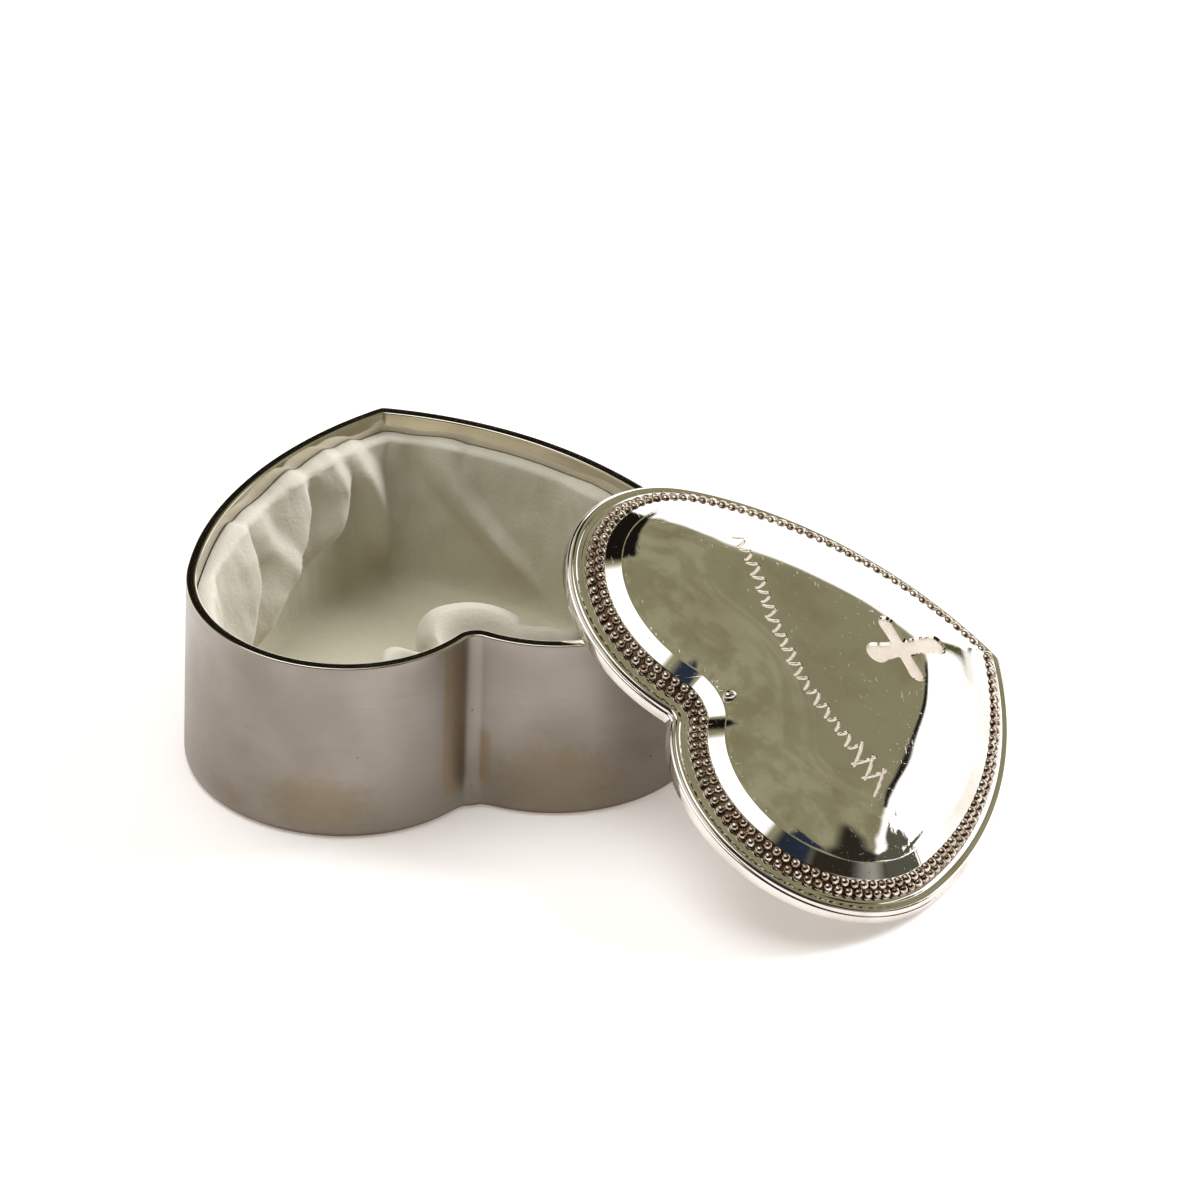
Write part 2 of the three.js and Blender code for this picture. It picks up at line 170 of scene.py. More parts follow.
bearing = add_node(tree, "ShaderNodeMath", {0: bearing, 1: 250.0, 2: -110.0}, operation="WRAP")
elevation = add_node(tree, "ShaderNodeMath", {0: upwards}, operation="ARCSINE")
elevation = add_node(tree, "ShaderNodeMath", {0: elevation}, operation="DEGREES")
canopy_dark, canopy_light = (0.335, 0.315, 0.195, 1), (0.42, 0.40, 0.262, 1)
sky_white, post_black, tree_dark = (2.1, 2.1, 2.12, 1), (0.012, 0.010, 0.008, 1), (0.035, 0.03, 0.022, 1)
leaf_green, bush_green, shade_blue = (0.11, 0.13, 0.05, 1), (0.12, 0.125, 0.09, 1), (0.03, 0.042, 0.075, 1)
paving_pale, paving_grey = (0.95, 0.93, 0.9, 1), (0.5, 0.48, 0.44, 1)
canopy_folds = add_node(tree, "ShaderNodeTexNoise", {"Vector": straight, "Scale": 6.0, "Detail": 2.0})
canopy_folds = add_node(
    tree, "ShaderNodeMapRange", {"Value": canopy_folds, "From Min": 0.4, "From Max": 0.62}, **soft_edges
)
room_colour = add_node(
    tree, "ShaderNodeMix", {0: canopy_folds, 6: canopy_dark, 7: canopy_light}, 2, data_type="RGBA"
)


def between(tree, value, low, high, softness):
    """1 between two limits and 0 outside them, with soft edges."""
    above = add_node(tree, "ShaderNodeMapRange", {
        "Value": value, "From Min": low - softness, "From Max": low + softness,
    }, **soft_edges)
    below = add_node(tree, "ShaderNodeMapRange", {
        "Value": value, "From Min": high + softness, "From Max": high - softness,
    }, **soft_edges)
    return add_node(tree, "ShaderNodeMath", {0: above, 1: below}, operation="MULTIPLY")


# Each part of the room: its bearings from and to, its heights from and to, its softness and its colour.
room_parts = (
    (-4, 104, -40, 27, 1.5, sky_white),
    (60, 80, 26.4, 28.2, 0.5, post_black),
    (48, 57, 1, 15, 2.5, leaf_green),
    (-110, -18, -40, 22, 6.0, paving_pale),
    (-110, -8, 56, 95, 2.0, sky_white),
    (150, 252, 62, 95, 2.0, sky_white),
    (-14, 18, 20, 57, 1.5, post_black),
    (104, 240, -40, 42, 3.0, tree_dark),
    (112, 150, -40, 22, 5.0, paving_grey),
    (130, 212, 42, 57, 2.0, shade_blue),
)
for from_bearing, to_bearing, bottom, top, softness, colour in room_parts:
    along = between(tree, bearing, from_bearing, to_bearing, softness)
    upright = between(tree, elevation, bottom, top, softness)
    share = add_node(tree, "ShaderNodeMath", {0: along, 1: upright}, operation="MULTIPLY")
    room_colour = add_node(tree, "ShaderNodeMix", {
        0: share, 6: room_colour, 7: colour,
    }, 2, data_type="RGBA")
leafy = add_node(tree, "ShaderNodeTexNoise", {"Vector": straight, "Scale": 16.0, "Detail": 3.0})
leafy = add_node(tree, "ShaderNodeMath", {0: leafy, 1: 34.0, 2: bearing}, operation="MULTIPLY_ADD")
leaves = 1.0
for value, start, end in ((leafy, 102.0, 104.0), (elevation, 25.0, 23.0), (bearing, 110.0, 108.0)):
    limit = add_node(tree, "ShaderNodeMapRange", {
        "Value": value, "From Min": start, "From Max": end,
    }, **soft_edges)
    leaves = add_node(tree, "ShaderNodeMath", {0: leaves, 1: limit}, operation="MULTIPLY")
room_colour = add_node(tree, "ShaderNodeMix", {
    0: leaves, 6: room_colour, 7: bush_green,
}, 2, data_type="RGBA")
feed(tree.nodes["Background"], {"Color": room_colour, "Strength": 1.0})
room.cycles.sampling_method = "NONE"

# The box: one cast shell of zinc alloy under a thin nickel plate, open above.
# The mould gives it a round bottom edge and a flat rim; the plate is satin outside and stained at the cleft.
box_width, box_length, box_height = 77.6, 67.6, 30.0
lobe_radius, side_radius, cleft_radius, tip_radius, sharpest = 23.0, 63.0, 2.2, 1.2, 0.15
wall, floor_thickness = 1.6, 1.6
base_round, rim_break, floor_fillet = 1.2, 0.25, 0.8
box_points = 560
lobe_x = box_width / 2 - lobe_radius
tip_y = box_length - lobe_radius


def find_side_centre():
    """The centre of the side arc, which touches the lobe's circle and the tip's circle."""
    lobe = np.array([lobe_x, 0.0])
    gap = np.array([0.0, tip_y - tip_radius]) - lobe
    length = np.hypot(*gap)
    from_lobe, from_tip = side_radius - lobe_radius, side_radius - tip_radius
    along = (from_lobe ** 2 - from_tip ** 2 + length ** 2) / (2 * length)
    across = math.sqrt(from_lobe ** 2 - along ** 2)
    gap /= length
    return lobe + gap * along + np.array([-gap[1], gap[0]]) * across


side_centre = find_side_centre()


def half_heart_arcs(inset):
    """The right half's four arcs, tip to cleft: x, y, radius and two angles each, for one inset or many."""
    inset = np.asarray(inset, float)
    zero = np.zeros_like(inset)
    tip_r = np.maximum(tip_radius - inset, sharpest)
    side_r, lobe_r = side_radius - inset, lobe_radius - inset
    cleft_r = np.maximum(cleft_radius + inset, sharpest)
    tip_centre = side_centre[1] + np.sqrt((side_r - tip_r) ** 2 - side_centre[0] ** 2)
    cleft_centre = -np.sqrt((lobe_r + cleft_r) ** 2 - lobe_x ** 2)
    tip_angle = np.arctan2(tip_centre - side_centre[1], zero - side_centre[0])
    side_angle = zero + math.atan2(-side_centre[1], lobe_x - side_centre[0])
    cleft_angle = np.arctan2(-cleft_centre, zero + lobe_x)
    quarter = zero + math.pi / 2
    return np.array([
        (zero, tip_centre, tip_r, quarter, tip_angle),
        (zero + side_centre[0], zero + side_centre[1], side_r, tip_angle, side_angle),
        (zero + lobe_x, zero, lobe_r, side_angle, cleft_angle - math.pi),
        (zero, cleft_centre, cleft_r, cleft_angle, quarter),
    ])


share_inset = 3.0
share_arcs = half_heart_arcs(share_inset)
arc_lengths = share_arcs[:, 2] * np.abs(share_arcs[:, 4] - share_arcs[:, 3])
arc_ends = np.concatenate([[0.0], np.cumsum(arc_lengths) / arc_lengths.sum()])


def heart_ring(inset, turns):
    """Flat points in millimetres on the outline set in by `inset`, at turns from 0 to 1 from the tip."""
    wrapped = np.mod(turns, 1.0)
    on_right = wrapped <= 0.5
    rest = np.where(on_right, wrapped * 2, (1 - wrapped) * 2)
    index = np.clip(np.searchsorted(arc_ends, rest, side="right") - 1, 0, 3)
    share = np.clip((rest - arc_ends[index]) / (arc_ends[index + 1] - arc_ends[index]), 0, 1)
    insets = np.broadcast_to(inset, wrapped.shape)
    arcs = half_heart_arcs(insets)[index, :, np.arange(len(wrapped))]
    angle = arcs[:, 3] + (arcs[:, 4] - arcs[:, 3]) * share
    x = np.maximum(arcs[:, 0] + arcs[:, 2] * np.cos(angle), 0)
    return np.stack([np.where(on_right, x, -x), arcs[:, 1] + arcs[:, 2] * np.sin(angle)], axis=1)


def ring_faces(rings, points):
    """Quads between neighbouring rings of equal point counts, with the skin's outside outwards."""
    faces = []
    for r in range(rings - 1):
        for i in range(points):
            j = (i + 1) % points
            faces.append((r * points + i, (r + 1) * points + i, (r + 1) * points + j, r * points + j))
    return faces


def rounded(corner, radius, start, turn, steps):
    """Section points round a corner: `corner` is the arc's centre, `start` its first angle, in degrees."""
    angles = [math.radians(start + turn * k / steps) for k in range(steps + 1)]
    return [(corner[0] + radius * math.cos(a), corner[1] + radius * math.sin(a)) for a in angles]


def skin_of(section, turns):
    """A skin's points in millimetres: a heart-shaped ring for each inset and height of its section."""
    rings = [np.column_stack([heart_ring(inset, turns), np.full(len(turns), z)]) for inset, z in section]
    return np.concatenate(rings)


box_turns = np.arange(box_points) / box_points
base_steps, side_rows, break_steps, wall_rows, fillet_steps = 7, 14, 4, 5, 4
side_margin, wall_drop = 2.0, 3.0
box_section = [
    *rounded((base_round, base_round), base_round, 270, -90, base_steps),
    *[(0.0, z) for z in np.linspace(side_margin, box_height - side_margin, side_rows)],
    *rounded((rim_break, box_height - rim_break), rim_break, 180, -90, break_steps),
    *rounded((wall - rim_break, box_height - rim_break), rim_break, 90, -90, break_steps),
    *[(wall, z) for z in np.linspace(box_height - wall_drop, floor_thickness + floor_fillet + 1, wall_rows)],
    *rounded((wall + floor_fillet, floor_thickness + floor_fillet), floor_fillet, 180, 90, fillet_steps),
]
outside_rows = base_steps + 1 + side_rows + break_steps
box_skin = skin_of(box_section, box_turns)
nub_width, nub_height, nub_reach = 1.7, 2.2, 1.0
at_cleft = np.exp(-(box_skin[:, 0] / nub_width) ** 2) * (box_skin[:, 1] < 0)
near_base = np.exp(-((box_skin[:, 2] - 1.0) / nub_height) ** 2)
outside = np.arange(len(box_skin)) < box_points * outside_rows
box_skin[:, 1] -= nub_reach * at_cleft * near_base * outside * (box_skin[:, 2] > 0.01)
lopsided, lopsided_from, lopsided_to = 0.55, 0.0, 24.0


def set_askew(points):
    """Moves points sideways as the casting is: its tip isn't quite in the middle."""
    share = np.clip((points[:, 1] - lopsided_from) / (lopsided_to - lopsided_from), 0, 1)
    askew = points.copy()
    askew[:, 0] -= lopsided * share * share * (3 - 2 * share)
    return askew


box_skin = set_askew(box_skin)
box_faces = ring_faces(len(box_section), box_points)
box_faces.append(tuple(range(box_points)))
box_faces.append(tuple(reversed(range(len(box_skin) - box_points, len(box_skin)))))


def place_in_mm(tree):
    """The object's own coordinates in millimetres."""
    own = add_node(tree, "ShaderNodeTexCoord", {}, "Object")
    return add_node(tree, "ShaderNodeVectorMath", {0: own, "Scale": 1000.0}, operation="SCALE")


def blotches(tree, place, size, detail=2.0, stretch=(1.0, 1.0, 1.0)):
    """A cloudy pattern in blotches about `size` millimetres across, longer where `stretch` is over 1."""
    scale = tuple(1 / (size * s) for s in stretch)
    scaled = add_node(tree, "ShaderNodeMapping", {"Vector": place, "Scale": scale})
    return add_node(tree, "ShaderNodeTexNoise", {"Vector": scaled, "Scale": 1.0, "Detail": detail})


def stain_at(tree, place, centre, radii, ragged, depth):
    """`depth` inside a ragged oval patch and 0 well outside it."""
    offset = add_node(tree, "ShaderNodeVectorMath", {0: place, 1: centre}, operation="SUBTRACT")
    shaped = add_node(tree, "ShaderNodeVectorMath", {0: offset, 1: radii}, operation="DIVIDE")
    reach = add_node(tree, "ShaderNodeVectorMath", {0: shaped}, "Value", operation="LENGTH")
    reach = add_node(tree, "ShaderNodeMath", {0: ragged, 1: 0.9, 2: reach}, operation="MULTIPLY_ADD")
    return add_node(tree, "ShaderNodeMapRange", {
        "Value": reach, "From Min": 1.75, "From Max": 0.95, "To Max": depth,
    }, **soft_edges)


def pits_in(tree, place, apart, size):
    """Small round pits about `size` across, one in some of the cells `apart` millimetres wide."""
    cells = add_node(tree, "ShaderNodeTexVoronoi", {"Vector": place, "Scale": 1 / apart, "Randomness": 1.0})
    lot = add_node(tree, "ShaderNodeSeparateXYZ", {0: cells.node.outputs["Color"]})
    chosen = add_node(tree, "ShaderNodeMath", {0: lot, 1: 0.6}, operation="GREATER_THAN")
    pit = add_node(tree, "ShaderNodeMapRange", {
        "Value": cells, "From Min": size / apart, "From Max": size / apart * 0.4,
    }, **soft_edges)
    return add_node(tree, "ShaderNodeMath", {0: pit, 1: chosen}, operation="MULTIPLY")


def layered(tree, base, layers):
    """A base colour under layers of other colours, each with the share of it that shows."""
    colour = linear(base)
    for share, layer in layers:
        colour = add_node(tree, "ShaderNodeMix", {0: share, 6: colour, 7: linear(layer)}, 2, data_type="RGBA")
    return colour


# Satin nickel plate, brushed level and handled for years: soft warm grey, clouded, stained where damp stood.
satin_nickel, tree, shader = new_material("satin_nickel_plate")
satin_place = place_in_mm(tree)
satin_x, satin_y, satin_height = add_node(tree, "ShaderNodeSeparateXYZ", {0: satin_place}).node.outputs
clouds = blotches(tree, satin_place, 16.0, 3.0)
stain_edge = blotches(tree, satin_place, 1.6, 3.0)
brushing = blotches(tree, satin_place, 0.6, 2.0, (12.0, 12.0, 1.0))
cloudy = add_node(
    tree, "ShaderNodeMapRange", {"Value": clouds, "From Min": 0.35, "From Max": 0.7}, **soft_edges
)
brushed = add_node(tree, "ShaderNodeMapRange", {
    "Value": brushing, "From Min": 0.45, "From Max": 0.75, "To Max": 0.12,
}, **soft_edges)
satin_layers = [(cloudy, "#878077"), (brushed, "#776f66")]

# Each stain: its centre and its radii in millimetres, its colour and its depth.
stains = (
    ((-23.3, -31.0, 6.0), (8.5, 6.0, 4.6), "#7d6839", 0.42),
    ((12.0, -33.0, 6.0), (9.5, 6.0, 6.5), "#7a653a", 0.42),
    ((-33.5, -20.0, 3.5), (4.5, 6.0, 2.4), "#7c6c48", 0.35),
)
for centre, radii, colour, depth in stains:
    satin_layers.append((stain_at(tree, satin_place, centre, radii, stain_edge, depth), colour))
low_shade = add_node(tree, "ShaderNodeMapRange", {
    "Value": satin_height, "From Min": 22.0, "From Max": 1.0, "To Max": 0.34,
}, **soft_edges)
satin_layers.append((low_shade, "#6f6655"))


def run_mark(centre_x, half_width, bottom, top):
    """1 where damp ran down beside the cleft: an upright stripe with a round lower end."""
    across = add_node(tree, "ShaderNodeMath", {0: satin_x, 1: centre_x}, operation="SUBTRACT")
    under = add_node(tree, "ShaderNodeMath", {0: bottom + half_width, 1: satin_height}, operation="SUBTRACT")
    under = add_node(tree, "ShaderNodeMath", {0: under, 1: 0.0}, operation="MAXIMUM")
    reach = add_node(tree, "ShaderNodeCombineXYZ", {"X": across, "Y": under})
    reach = add_node(tree, "ShaderNodeVectorMath", {0: reach}, "Value", operation="LENGTH")
    reach = add_node(tree, "ShaderNodeMath", {0: stain_edge, 1: 0.5, 2: reach}, operation="MULTIPLY_ADD")
    stripe = add_node(tree, "ShaderNodeMapRange", {
        "Value": reach, "From Min": half_width + 0.45, "From Max": half_width + 0.05,
    }, **soft_edges)
    under_top = add_node(tree, "ShaderNodeMapRange", {
        "Value": satin_height, "From Min": top + 0.3, "From Max": top - 0.3,
    }, **soft_edges)
    in_front = add_node(
        tree, "ShaderNodeMapRange", {"Value": satin_y, "From Min": -20.0, "From Max": -23.0}, **soft_edges
    )
    stripe = add_node(tree, "ShaderNodeMath", {0: stripe, 1: under_top}, operation="MULTIPLY")
    return add_node(tree, "ShaderNodeMath", {0: stripe, 1: in_front}, operation="MULTIPLY")


low_down = add_node(
    tree, "ShaderNodeMapRange", {"Value": satin_height, "From Min": 11.5, "From Max": 8.5}, **soft_edges
)
mark_pits = pits_in(tree, satin_place, 0.8, 0.13)
mark_pits = add_node(tree, "ShaderNodeMath", {0: mark_pits, 1: low_down}, operation="MULTIPLY")
mark_tone = add_node(tree, "ShaderNodeMath", {0: stain_edge, 1: 0.6, 2: 0.3}, operation="MULTIPLY_ADD")
for centre_x, half_width, bottom, top in ((-3.3, 1.65, 3.9, 29.4), (1.75, 0.7, 4.6, 13.4)):
    mark = run_mark(centre_x, half_width, bottom, top)
    for share, colour in ((mark_tone, "#8b775b"), (mark_pits, "#2a1c10")):
        toned = add_node(tree, "ShaderNodeMath", {0: mark, 1: share}, operation="MULTIPLY")
        satin_layers.append((toned, colour))
at_base = add_node(
    tree, "ShaderNodeMapRange", {"Value": satin_height, "From Min": 1.3, "From Max": 0.2}, **soft_edges
)
broken = add_node(
    tree, "ShaderNodeMapRange", {"Value": stain_edge, "From Min": 0.1, "From Max": 0.5}, **soft_edges
)
base_line = add_node(tree, "ShaderNodeMath", {0: at_base, 1: broken}, operation="MULTIPLY")
satin_pits = pits_in(tree, satin_place, 3.4, 0.16)
satin_layers += [(base_line, "#6e4f30"), (satin_pits, "#2b231c")]
satin_relief = add_node(tree, "ShaderNodeMath", {0: brushing, 1: 0.25}, operation="MULTIPLY")
satin_relief = add_node(tree, "ShaderNodeMath", {0: satin_relief, 1: satin_pits}, operation="SUBTRACT")
feed(shader, {
    "Base Color": layered(tree, "#979089", satin_layers),
    "Metallic": 1.0,
    "Roughness": add_node(tree, "ShaderNodeMath", {0: clouds, 1: 0.16, 2: 0.26}, operation="MULTIPLY_ADD"),
    "Normal": add_node(
        tree, "ShaderNodeBump", {"Height": satin_relief, "Strength": 0.12, "Distance": 0.0001}
    ),
})

# The same plate left bright inside and on the rim, where nobody brushed it: a soft mirror with dull clouds.
inner_nickel, tree, shader = new_material("bright_nickel_inside")
inner_clouds = blotches(tree, place_in_mm(tree), 7.0, 3.0)
feed(shader, {
    "Base Color": layered(tree, "#e6e0d4", [(inner_clouds, "#c3baa8")]),
    "Metallic": 1.0,
    "Roughness": add_node(
        tree, "ShaderNodeMath", {0: inner_clouds, 1: 0.12, 2: 0.04}, operation="MULTIPLY_ADD"
    ),
})
box_place = (0, lobe_line_y / mm, 0)
box_shell = object_from("box_shell", (box_skin + box_place) * mm, box_faces, [satin_nickel, inner_nickel])
bright_from, bright_to = (base_steps + side_rows + 2) * box_points, len(box_faces) - 2
inner_floor = len(box_faces) - 1
finishes = [int(bright_from <= k < bright_to or k == inner_floor) for k in range(len(box_faces))]
box_shell.data.polygons.foreach_set("material_index", finishes)
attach(box_shell, "root")
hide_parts("box_body")

# The lining: one piece of off-white velveteen, gathered round the inside wall and glued down on the floor.
# Its hem is rolled a little below the rim; it hangs in deep folds on the left and humps over the cleft.
lining_gap, cloth_thickness, lining_floor = 0.3, 0.7, 4.0
hem_drop, hem_radius, puff_lift = 2.8, 1.0, 0.25
puffs = ((0.5, 0.026, 0.018, 5.6), (0.44, 0.055, 0.04, 3.2), (0.553, 0.016, 0.019, 3.0))
lining_lean, lining_fall, lining_foot, lining_tuck = 3.6, 24.0, 9.0, 0.15
lining_middle, tucked_height, tucked_more = 17.9, 0.12, 1.6
lining_points = 600
lining_turns = np.arange(lining_points) / lining_points
fold_heights = (27.0, 20.0, 14.0, 8.0)
lowest_fold, highest_fold, fold_fade = 6.0, 27.5, 8.0
valley_turn, valley_width, valley_depth = 0.02, 0.010, 0.8

# Each fold: its turn at each of the fold heights, its size, its width before and after, and its foot.
folds = (
    ((0.834, 0.824, 0.808, 0.795), 3.9, 0.050, 0.014, 3.0),
    ((0.856, 0.872, 0.885, 0.895), 1.8, 0.024, 0.020, 13.0),
    ((0.912, 0.897, 0.866, 0.845), 4.6, 0.034, 0.013, 3.0),
    ((0.9465, 0.951, 0.928, 0.895), 4.2, 0.036, 0.013, 11.0),
    ((0.970, 0.989, 0.994, 0.996), 3.6, 0.032, 0.012, 4.0),
    ((0.045, 0.055, 0.085, 0.115), 1.7, 0.030, 0.016, 4.0),
    ((0.160, 0.165, 0.170, 0.175), 0.8, 0.030, 0.026, 4.0),
    ((0.245, 0.240, 0.235, 0.230), 0.7, 0.026, 0.020, 4.0),
    ((0.330, 0.332, 0.335, 0.340), 0.9, 0.024, 0.022, 4.0),
    ((0.755, 0.745, 0.735, 0.725), 1.6, 0.040, 0.020, 4.0),
    ((0.690, 0.685, 0.680, 0.675), 1.2, 0.034, 0.020, 4.0),
    ((0.620, 0.625, 0.630, 0.635), 0.8, 0.022, 0.016, 4.0),
)


def fold_push(turns, height):
    """How far the folds stand out from the hanging cloth: a slow rise, then a quick fall, at each ridge."""
    push = np.zeros_like(turns)
    for ridge, size, rise, fall, lowest_part in folds:
        centre = np.polyval(np.polyfit(fold_heights, ridge, 3), np.clip(height, lowest_fold, highest_fold))
        away = np.mod(turns - centre + 0.5, 1.0) - 0.5
        climb = np.clip(1 + away / rise, 0, 1)
        before = climb * climb * (3 - 2 * climb)
        after = 0.5 + 0.5 * np.cos(np.pi * np.clip(away / fall, 0, 1))
        fade = np.clip((height - lowest_part) / fold_fade, 0, 1)
        push += size * np.where(away < 0, before, after) * fade * fade * (3 - 2 * fade)
    valley = np.mod(turns - valley_turn + 0.5, 1.0) - 0.5
    return push - valley_depth * np.exp(-(valley / valley_width) ** 2)


def puff_radius(turns):
    """The hem roll's radius: small all round and large where the cloth is bunched over the cleft."""
    radius = np.full_like(turns, hem_radius)
    for centre, width_before, width_after, size in puffs:
        away = np.mod(turns - centre + 0.5, 1.0) - 0.5
        reach = np.abs(away) / np.where(away < 0, width_before, width_after)
        radius += size * np.exp(-reach ** np.where(away < 0, 2.0, 2.8))
    return radius


roll_radius = puff_radius(lining_turns)
hem_ripple = 0.24 * (fold_push(lining_turns, np.full(lining_points, 27.0)) - 1.3)
hem_ripple *= np.clip((3.0 - roll_radius) / 2.0, 0, 1)
crest_height = box_height - hem_drop + puff_lift * (roll_radius - hem_radius) + hem_ripple
roll_centre = wall + lining_gap + roll_radius
bunched = np.clip((roll_radius - hem_radius - 0.5) / 2.5, 0, 1)
lining_rows = []
hanging_limit, rolled_limit = wall + 0.05 + cloth_thickness, wall + 0.08
for angle in np.radians(np.linspace(0, 90, 10)[:-1]):
    climbed = (1 - bunched) * np.sin(angle) + bunched * (1 - np.cos(angle) ** 1.35)
    lining_rows.append((
        rolled_limit + (roll_centre - rolled_limit) * (1 - np.cos(angle)),
        crest_height - (tucked_height + tucked_more * (roll_radius - hem_radius)) * (1 - climbed),
        rolled_limit, np.sin(angle),
    ))
for angle in np.radians(np.linspace(90, 150, 11)):
    lining_rows.append((
        roll_centre - roll_radius * np.cos(angle),
        crest_height - roll_radius + roll_radius * np.sin(angle) * np.ones(lining_points),
        rolled_limit, 1.0,
    ))
start_inset, start_height = lining_rows[-1][:2]
foot_inset = start_inset + lining_lean
for s in np.linspace(0, 1, 52)[1:]:
    from_start = 2 * s ** 3 - 3 * s ** 2 + 1
    start_slope, foot_slope = s ** 3 - 2 * s ** 2 + s, s ** 3 - s ** 2
    lining_rows.append((
        from_start * start_inset + (1 - from_start) * foot_inset
        + start_slope * lining_fall * lining_tuck + foot_slope * lining_foot,
        from_start * start_height + (1 - from_start) * lining_floor - start_slope * lining_fall,
        hanging_limit, 1.0,
    ))
for across in np.linspace(0, 1, 9)[1:]:
    last = np.maximum(lining_middle, foot_inset + 0.5)
    lining_rows.append((
        foot_inset + (last - foot_inset) * across, np.full(lining_points, lining_floor), hanging_limit, 1.0,
    ))
lining_skin = []
for inset, height, least, freedom in lining_rows:
    share = np.interp(height, (lining_floor, 8, 14, 20, 24, 27.2), (0.0, 0.6, 1.0, 1.0, 0.8, 0.35))
    share = share * np.clip(1.3 - roll_radius / 5.0, 0.15, 1)
    creases = np.array([
        noise.noise(Vector((5.5 * math.cos(a), 5.5 * math.sin(a) + 40, z / 9)) * 1.4)
        + 0.5 * noise.noise(Vector((16 * math.cos(a), 16 * math.sin(a), z / 5)) * 1.2)
        for a, z in zip(lining_turns * math.tau, height)
    ])
    loose = np.clip((height - lining_floor) / 4, 0, 1)
    pushed = inset + freedom * (share * fold_push(lining_turns, height) + 0.3 * creases * loose)
    pushed = np.maximum(pushed, least)
    ring = heart_ring(np.minimum(pushed, 19.5), lining_turns)
    hollows = np.array([noise.noise(Vector((x / 9, y / 9, 3.5))) for x, y in ring])
    lift = 0.4 * hollows * (1 - loose) + 0.3 * creases * loose * np.clip(roll_radius / 3, 0, 1)
    lining_skin.append(np.column_stack([ring, height + lift]))
lining_skin = set_askew(np.concatenate(lining_skin))
lining_faces = ring_faces(len(lining_rows), lining_points)
lining_faces.append(tuple(reversed(range(len(lining_skin) - lining_points, len(lining_skin)))))

# Cotton velveteen: a short pile that catches light at its edges and lies in patches, with painted shade that
# makes it darker and yellower low down and darker in front over the cleft.
velveteen, tree, shader = new_material("cotton_velveteen")
cloth_place = place_in_mm(tree)
cloth_x, cloth_y, cloth_height = add_node(tree, "ShaderNodeSeparateXYZ", {0: cloth_place}).node.outputs
pile_lie = blotches(tree, cloth_place, 5.0, 3.0)
pile_grain = blotches(tree, cloth_place, 0.55, 2.0)
grainy = add_node(tree, "ShaderNodeMath", {0: pile_grain, 1: 0.25}, operation="MULTIPLY")
# Painted shade: the cloth darker and yellower towards the floor, where the walls shade it.
low_painted_shade = add_node(tree, "ShaderNodeMapRange", {
    "Value": cloth_height, "From Min": 18.0, "From Max": 4.0, "To Max": 0.5,
}, **soft_edges)
from_middle = add_node(tree, "ShaderNodeMath", {0: cloth_x}, operation="ABSOLUTE")
# Painted shade: the cloth darker in the middle at the front, on the hump over the cleft near the rim.
front_painted_shade = add_node(tree, "ShaderNodeMapRange", {
    "Value": from_middle, "From Min": 24.0, "From Max": 12.0, "To Max": 0.4,
}, **soft_edges)
at_front = add_node(
    tree, "ShaderNodeMapRange", {"Value": cloth_y, "From Min": -8.0, "From Max": -18.0}, **soft_edges
)
front_painted_shade = add_node(tree, "ShaderNodeMath", {0: front_painted_shade, 1: at_front}, operation="MULTIPLY")
pile_relief = add_node(
    tree, "ShaderNodeMath", {0: pile_lie, 1: 1.5, 2: pile_grain}, operation="MULTIPLY_ADD"
)
feed(shader, {
    "Base Color": layered(tree, "#d9d5c7", [
        (pile_lie, "#cdc8b6"), (grainy, "#b5af9a"), (low_painted_shade, "#a6a180"), (front_painted_shade, "#a5a18d"),
    ]),
    "Roughness": 0.95,
    "Specular IOR Level": 0.15,
    "Sheen Weight": 0.25,
    "Sheen Roughness": 0.5,
    "Normal": add_node(
        tree, "ShaderNodeBump", {"Height": pile_relief, "Strength": 0.35, "Distance": 0.00025}
    ),
})
gathered_lining = object_from("gathered_lining", (lining_skin + box_place) * mm, lining_faces, [velveteen])
thicken = gathered_lining.modifiers.new("cloth_thickness", "SOLIDIFY")
thicken.thickness = cloth_thickness * mm
thicken.offset = -1
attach(gathered_lining, "root")
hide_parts("lining")

# The lid: one casting in zinc alloy under bright nickel, buffed by hand, with a skirt that fits over the rim.
# It lies with one lobe on the table and the other over the box's front rim.
lid_clearance, skirt_wall, seat_height, skirt_height = 0.2, 0.8, 1.2, 1.9
roll_width_lid, roll_rise = 1.8, 0.5
flat_width, flat_slope = 0.8, 28
band_width, band_slope = 2.75, 40.5
inner_width, inner_slope = 2.5, 33
crown_width = 14.0
crown_rise, crown_power = 3.7, 2.05
lid_thickness = 1.3
lid_turn, lid_tilt, lean_toward = math.radians(-67.3), math.radians(28.48), math.radians(-38.2)
lid_x, lid_y = 41.0, -26.7
lid_points = 640
lid_turns = np.arange(lid_points) / lid_points
skirt_face = -(lid_clearance + skirt_wall)


def step_in(start, width, slope):
    """The section point `width` further in, up a slope in degrees."""
    angle = math.radians(slope)
    return (start[0] + width * math.cos(angle), start[1] + width * math.sin(angle))


roll_top = (skirt_face + roll_width_lid, skirt_height + roll_rise)
bead_foot = step_in(roll_top, flat_width, flat_slope)
bead_head = step_in(bead_foot, band_width, band_slope)
crown_foot = step_in(bead_head, inner_width, inner_slope)

lean_axis = Vector((-math.sin(lean_toward), math.cos(lean_toward), 0))
lid_turned = Quaternion(lean_axis, lid_tilt) @ Quaternion((0, 0, 1), lid_turn)
lid_matrix = lid_turned.to_matrix()
skirt_edge = heart_ring(skirt_face, lid_turns)
lowest = min((lid_matrix @ Vector((x, y, 0))).z for x, y in skirt_edge)
lid_rotation = np.array(lid_matrix)
lid_origin = np.array([lid_x, lid_y + lobe_line_y / mm, -lowest])


def place_lid(points):
    """Points in the lid's own frame, in millimetres, moved to where the lid lies, in metres."""
    return (np.asarray(points) @ lid_rotation.T + lid_origin) * mm


grid_step, crown_blur = 0.25, 1.2
grid_x = np.arange(-44, 44, grid_step)
grid_y = np.arange(-30, 50, grid_step)


